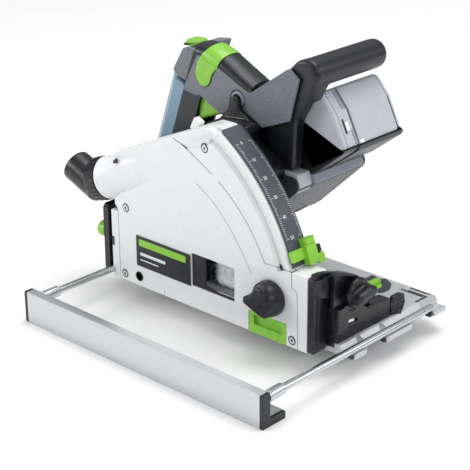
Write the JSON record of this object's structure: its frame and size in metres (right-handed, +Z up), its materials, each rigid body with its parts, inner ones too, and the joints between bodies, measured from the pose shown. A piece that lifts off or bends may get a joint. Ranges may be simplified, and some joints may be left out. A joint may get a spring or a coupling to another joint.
{
  "type": "track plunge saw",
  "caption": "Cordless track plunge saw with a tilting white blade guard, battery packs, a loop handle, a dust outlet and a side fence on two rods.",
  "frame": {"origin": "on the sole of the base plate, in the plane of its underside, near the middle of the plate", "axes": "+X forward along the cut, +Y away from the blade side towards the motor, +Z up"},
  "size_m": [0.4053, 0.299, 0.301],
  "materials": {
    "aluminium": "satin, lightly brushed",
    "bright_steel": "bright drawn steel",
    "white_shell": "light grey paint, satin",
    "black_plastic": "fine matt texture",
    "grey_plastic": "speckled matt texture",
    "light_grey_plastic": "fine matt texture",
    "green_plastic": "satin lime green",
    "blue_grey_plastic": "matt"
  },
  "bodies": {
    "base": {"base_plate": "aluminium", "front_bevel_bracket": "black_plastic", "rear_bevel_bracket": "black_plastic", "rod_clamp_front": "grey_plastic", "rod_clamp_rear": "grey_plastic"},
    "fence": {"fence_profile": "aluminium", "fence_cap_front": "black_plastic", "fence_cap_rear": "black_plastic", "fence_rod_front": "bright_steel", "fence_rod_rear": "bright_steel"},
    "front_bevel_knob": {"front_bevel_knob": "black_plastic"},
    "rear_bevel_knob": {"rear_bevel_knob": "black_plastic"},
    "front_rail_adjuster": {"front_rail_adjuster": "green_plastic"},
    "rear_rail_adjuster": {"rear_rail_adjuster": "green_plastic"},
    "wing_screw_front": {"wing_screw_front": "black_plastic"},
    "wing_screw_rear": {"wing_screw_rear": "black_plastic"},
    "head": {"guard_housing": "white_shell", "cover_panel": "white_shell", "front_block": "white_shell", "label_plate": "grey_plastic", "cover_screw_1": "bright_steel", "cover_screw_2": "bright_steel", "cover_screw_3": "bright_steel", "dust_collar": "black_plastic", "depth_scale": "grey_plastic", "front_bevel_segment": "black_plastic", "rear_bevel_segment": "black_plastic", "pivot_pin": "bright_steel", "return_spring": "bright_steel"},
    "undercut_knob": {"undercut_knob": "green_plastic"},
    "dust_outlet": {"dust_outlet": "black_plastic"},
    "splinter_guard": {"splinter_guard": "green_plastic"},
    "splinter_guard_knob": {"splinter_guard_knob": "black_plastic"},
    "depth_stop": {"depth_stop": "green_plastic"},
    "depth_stop_button": {"depth_stop_button": "green_plastic"},
    "fine_adjust_screw": {"fine_adjust_screw": "black_plastic"},
    "plunge": {"gear_housing": "black_plastic", "motor_housing": "light_grey_plastic", "motor_end_cap": "grey_plastic", "riving_knife": "bright_steel", "depth_pointer_arm": "black_plastic", "handle_shell_left": "grey_plastic", "handle_shell_right": "grey_plastic", "front_grip": "black_plastic", "battery_dock": "light_grey_plastic", "battery_tray": "black_plastic", "rear_battery_dock": "grey_plastic"},
    "spindle": {"saw_blade": "bright_steel", "arbor_shaft": "bright_steel", "blade_clamp_screw": "bright_steel", "drive_gear": "bright_steel"},
    "rotor": {"motor_shaft_and_rotor": "bright_steel"},
    "speed_dial": {"speed_dial": "green_plastic"},
    "trigger": {"trigger": "green_plastic"},
    "lock_button": {"lock_button": "green_plastic"},
    "blade_change_lever": {"blade_change_lever": "green_plastic"},
    "front_battery": {"front_battery": "light_grey_plastic"},
    "rear_battery": {"rear_battery": "blue_grey_plastic"}
  },
  "joints": [
    {"name": "bevel_tilt", "type": "hinge", "parent": "base", "child": "head", "pos_m": [0, -0.1, 0], "axis": [1, 0, 0], "range_deg": [-1, 45]},
    {"name": "plunge_swing", "type": "hinge", "parent": "head", "child": "plunge", "pos_m": [-0.118, -0.06, 0.013], "axis": [0, 1, 0], "range_deg": [0, 30.6], "stiffness_Nm_per_rad": 7, "springref_deg": -63.03},
    {"name": "blade_spin", "type": "hinge", "parent": "plunge", "child": "spindle", "pos_m": [-0.0244, -0.088, 0.0825], "axis": [0, 1, 0], "continuous": true},
    {"name": "rotor_spin", "type": "hinge", "parent": "plunge", "child": "rotor", "pos_m": [-0.0296, -0.01, 0.1149], "axis": [0, 1, 0], "continuous": true},
    {"name": "fence_slide", "type": "slide", "parent": "base", "child": "fence", "axis": [0, 1, 0], "range_m": [-0.05, 0.05]},
    {"name": "front_bevel_knob_turn", "type": "hinge", "parent": "base", "child": "front_bevel_knob", "pos_m": [0.143, -0.05806, 0.06458], "axis": [1, 0, 0], "range_deg": [0, 120]},
    {"name": "rear_bevel_knob_turn", "type": "hinge", "parent": "base", "child": "rear_bevel_knob", "pos_m": [-0.177, -0.05806, 0.06458], "axis": [1, 0, 0], "range_deg": [0, 120]},
    {"name": "front_rail_adjuster_turn", "type": "hinge", "parent": "base", "child": "front_rail_adjuster", "pos_m": [0.08, 0.06, 0.008], "axis": [0, 0, 1], "range_deg": [-60, 60]},
    {"name": "rear_rail_adjuster_turn", "type": "hinge", "parent": "base", "child": "rear_rail_adjuster", "pos_m": [-0.092, 0.06, 0.008], "axis": [0, 0, 1], "range_deg": [-60, 60]},
    {"name": "front_wing_screw_turn", "type": "hinge", "parent": "base", "child": "wing_screw_front", "pos_m": [0.145, 0.018, 0.012], "axis": [0, 0, 1], "range_deg": [-180, 180]},
    {"name": "rear_wing_screw_turn", "type": "hinge", "parent": "base", "child": "wing_screw_rear", "pos_m": [-0.145, 0.018, 0.012], "axis": [0, 0, 1], "range_deg": [-180, 180]},
    {"name": "undercut_knob_turn", "type": "hinge", "parent": "head", "child": "undercut_knob", "pos_m": [-0.181, -0.091, 0.05], "axis": [1, 0, 0], "range_deg": [0, 90]},
    {"name": "dust_outlet_swivel", "type": "hinge", "parent": "head", "child": "dust_outlet", "pos_m": [-0.1732, -0.087, 0.1122], "axis": [0.9397, 0, 0.342], "range_deg": [-90, 90]},
    {"name": "splinter_guard_slide", "type": "slide", "parent": "head", "child": "splinter_guard", "axis": [0, 0, 1], "range_m": [-0.005, 0]},
    {"name": "splinter_knob_turn", "type": "hinge", "parent": "head", "child": "splinter_guard_knob", "pos_m": [0.076, -0.1, 0.049], "axis": [0, 1, 0], "range_deg": [-90, 90]},
    {"name": "depth_stop_slide", "type": "hinge", "parent": "head", "child": "depth_stop", "pos_m": [-0.118, -0.08, 0.013], "axis": [0, 1, 0], "range_deg": [-26, 0]},
    {"name": "stop_button_press", "type": "slide", "parent": "depth_stop", "child": "depth_stop_button", "axis": [-0.9153, 0, -0.4028], "range_m": [0, 0.003], "stiffness_N_per_m": 600, "springref_m": -0.003},
    {"name": "fine_adjust_turn", "type": "hinge", "parent": "depth_stop", "child": "fine_adjust_screw", "pos_m": [0.10428, -0.061, 0.09522], "axis": [-0.3469, 0, 0.9379], "range_deg": [-180, 180]},
    {"name": "speed_dial_turn", "type": "hinge", "parent": "plunge", "child": "speed_dial", "pos_m": [-0.025, 0.084, 0.124], "axis": [0, 1, 0], "range_deg": [0, 270]},
    {"name": "trigger_pull", "type": "hinge", "parent": "plunge", "child": "trigger", "pos_m": [-0.045, -0.024, 0.206], "axis": [0, 1, 0], "range_deg": [0, 6], "stiffness_Nm_per_rad": 0.8, "springref_deg": -14.32},
    {"name": "lock_button_press", "type": "slide", "parent": "plunge", "child": "lock_button", "axis": [0, 0, -1], "range_m": [0, 0.004], "stiffness_N_per_m": 500, "springref_m": -0.003},
    {"name": "blade_change_lever_lift", "type": "hinge", "parent": "plunge", "child": "blade_change_lever", "pos_m": [-0.08, -0.024, 0.269], "axis": [0, 1, 0], "range_deg": [-50, 0]},
    {"name": "front_battery_slide", "type": "slide", "parent": "plunge", "child": "front_battery", "axis": [0, 1, 0], "range_m": [0, 0.07]},
    {"name": "rear_battery_slide", "type": "slide", "parent": "plunge", "child": "rear_battery", "axis": [-0.3272, 0, -0.9449], "range_m": [0, 0.04]}
  ],
  "couplings": [
    {"joint": "rotor_spin", "follows": "blade_spin", "ratio": -2.198}
  ]
}
